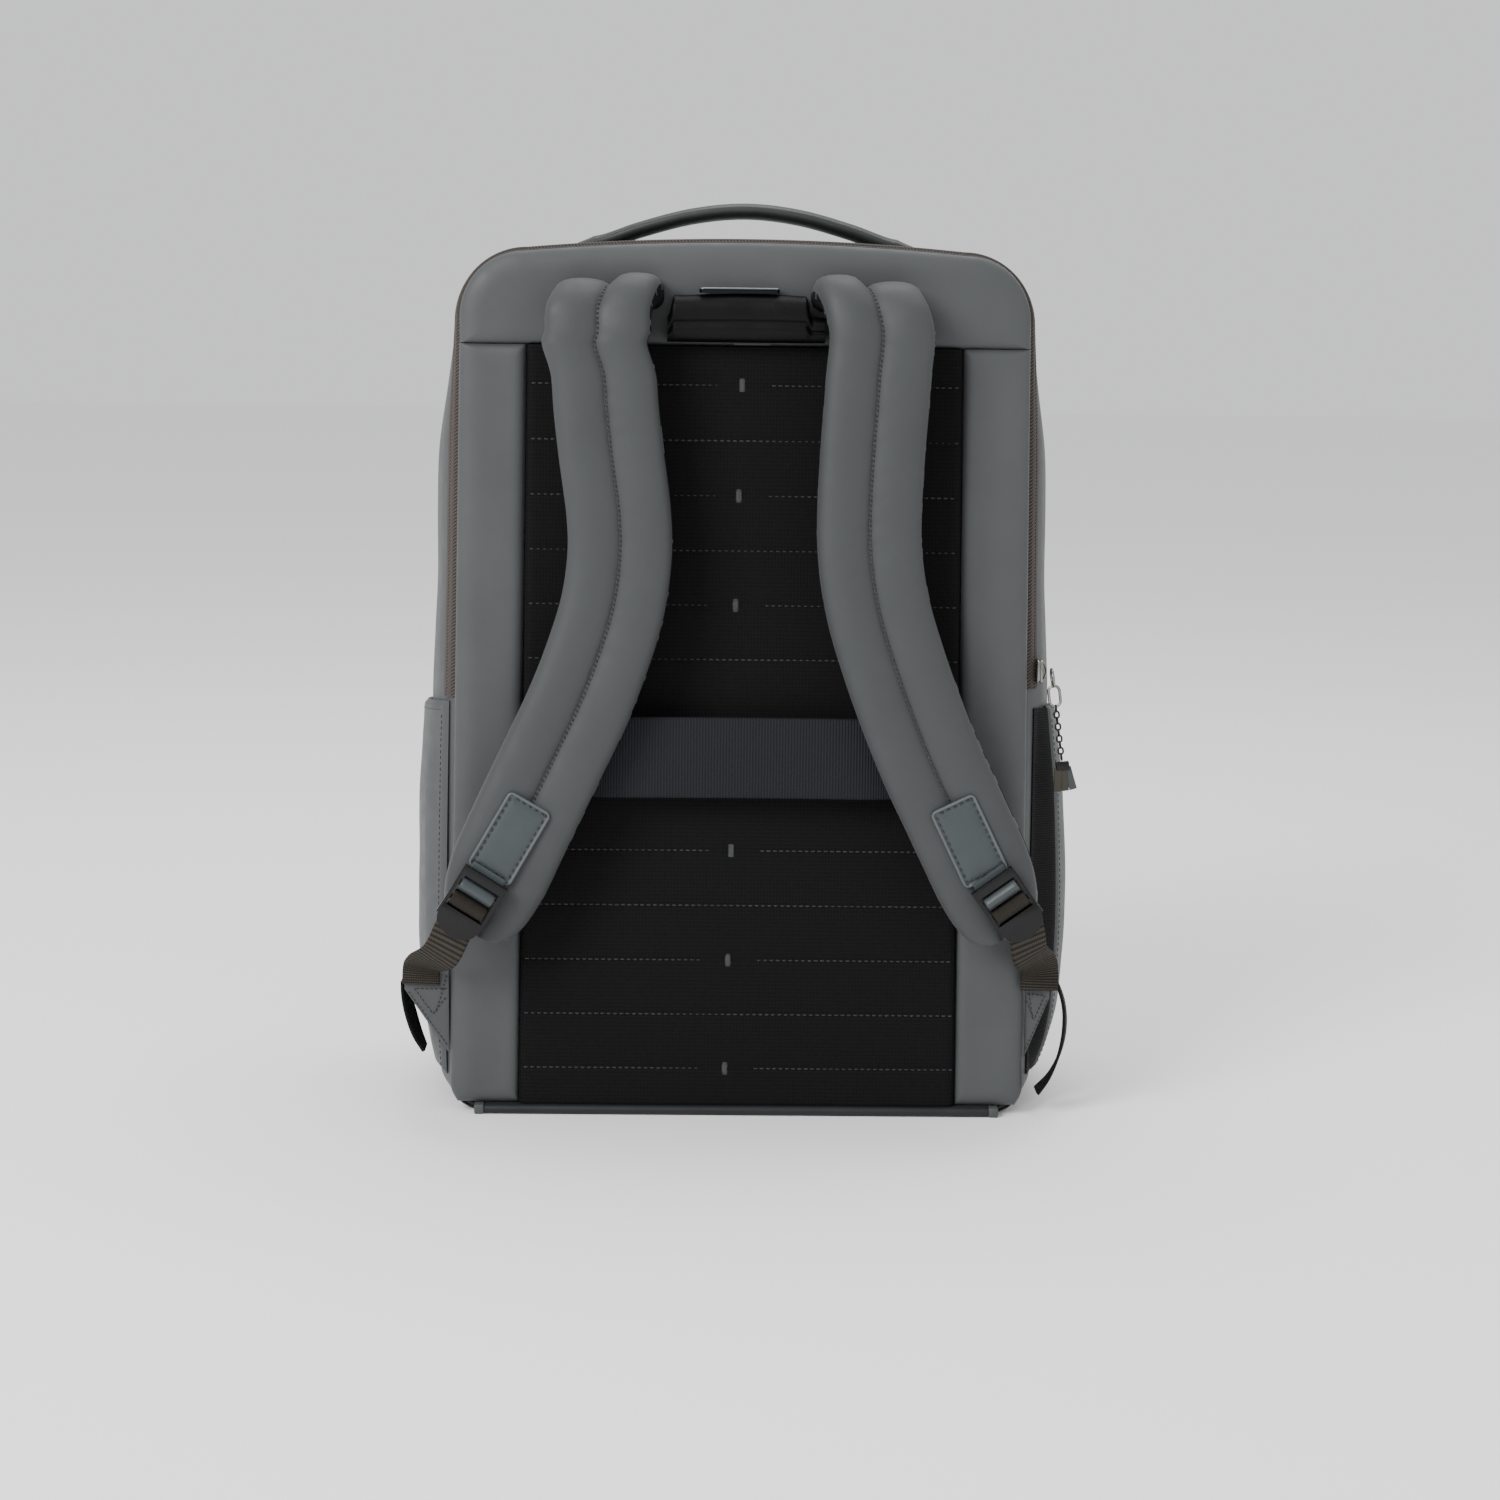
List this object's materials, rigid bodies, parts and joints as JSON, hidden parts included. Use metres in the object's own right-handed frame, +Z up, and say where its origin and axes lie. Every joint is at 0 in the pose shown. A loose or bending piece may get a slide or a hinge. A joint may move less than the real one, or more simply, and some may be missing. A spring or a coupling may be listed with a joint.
{
  "type": "laptop backpack",
  "caption": "Slim laptop backpack with padded shoulder straps, ladder-lock webbing, a pass-through band on the back, side pockets and a flat top handle.",
  "frame": {"origin": "middle of the bounding box's foot, on the plane that the bag stands on", "axes": "+Z up, -Y towards the wearer (strap side), +Y towards the front of the bag, +X to the right as seen from the strap side"},
  "size_m": [0.3416, 0.2004, 0.4552],
  "materials": {
    "coated_cloth": "matt coated woven polyester, mid grey",
    "air_mesh": "black spacer mesh over foam",
    "band_webbing": "dark ribbed webbing",
    "zip_cloth": "brown-grey woven zip tape",
    "strap_webbing": "brown-grey ribbed webbing",
    "tail_webbing": "black webbing",
    "roll_cover": "smooth black cover over foam",
    "patch_leather": "smooth blue-grey leather",
    "buckle_plastic": "moulded black acetal",
    "plate_metal": "satin dark metal, bare",
    "puller_metal": "black nickel plated",
    "tassel_leather": "olive-brown leather strips",
    "handle_cover": "smooth dark grey cover",
    "rail_cover": "dark piping"
  },
  "bodies": {
    "root": {"side_panel_right": "coated_cloth", "top_panel": "coated_cloth", "side_panel_left": "coated_cloth", "base_panel": "coated_cloth", "front_panel": "coated_cloth", "yoke_pad": "coated_cloth", "strip_pad_left": "coated_cloth", "strip_pad_right": "coated_cloth", "mesh_panel": "air_mesh", "pass_band": "band_webbing", "strap_bridge_roll": "roll_cover", "plain_plate": "plate_metal", "side_pocket_left": "coated_cloth", "side_pocket_right": "coated_cloth", "pocket_gusset_right": "air_mesh", "zip_tape": "zip_cloth", "zip_slider": "puller_metal", "puller_chain": "puller_metal", "puller_tassel": "tassel_leather", "top_handle": "handle_cover", "base_rail": "rail_cover", "rail_tab_left": "coated_cloth", "rail_tab_right": "coated_cloth", "shoulder_strap_left": "coated_cloth", "strap_patch_left": "patch_leather", "buckle_left": "buckle_plastic", "buckle_loop_left": "patch_leather", "webbing_left": "strap_webbing", "anchor_tab_left": "coated_cloth", "webbing_tail_left": "tail_webbing", "shoulder_strap_right": "coated_cloth", "strap_patch_right": "patch_leather", "buckle_right": "buckle_plastic", "buckle_loop_right": "patch_leather", "webbing_right": "strap_webbing", "anchor_tab_right": "coated_cloth", "webbing_tail_right": "tail_webbing"}
  },
  "joints": []
}
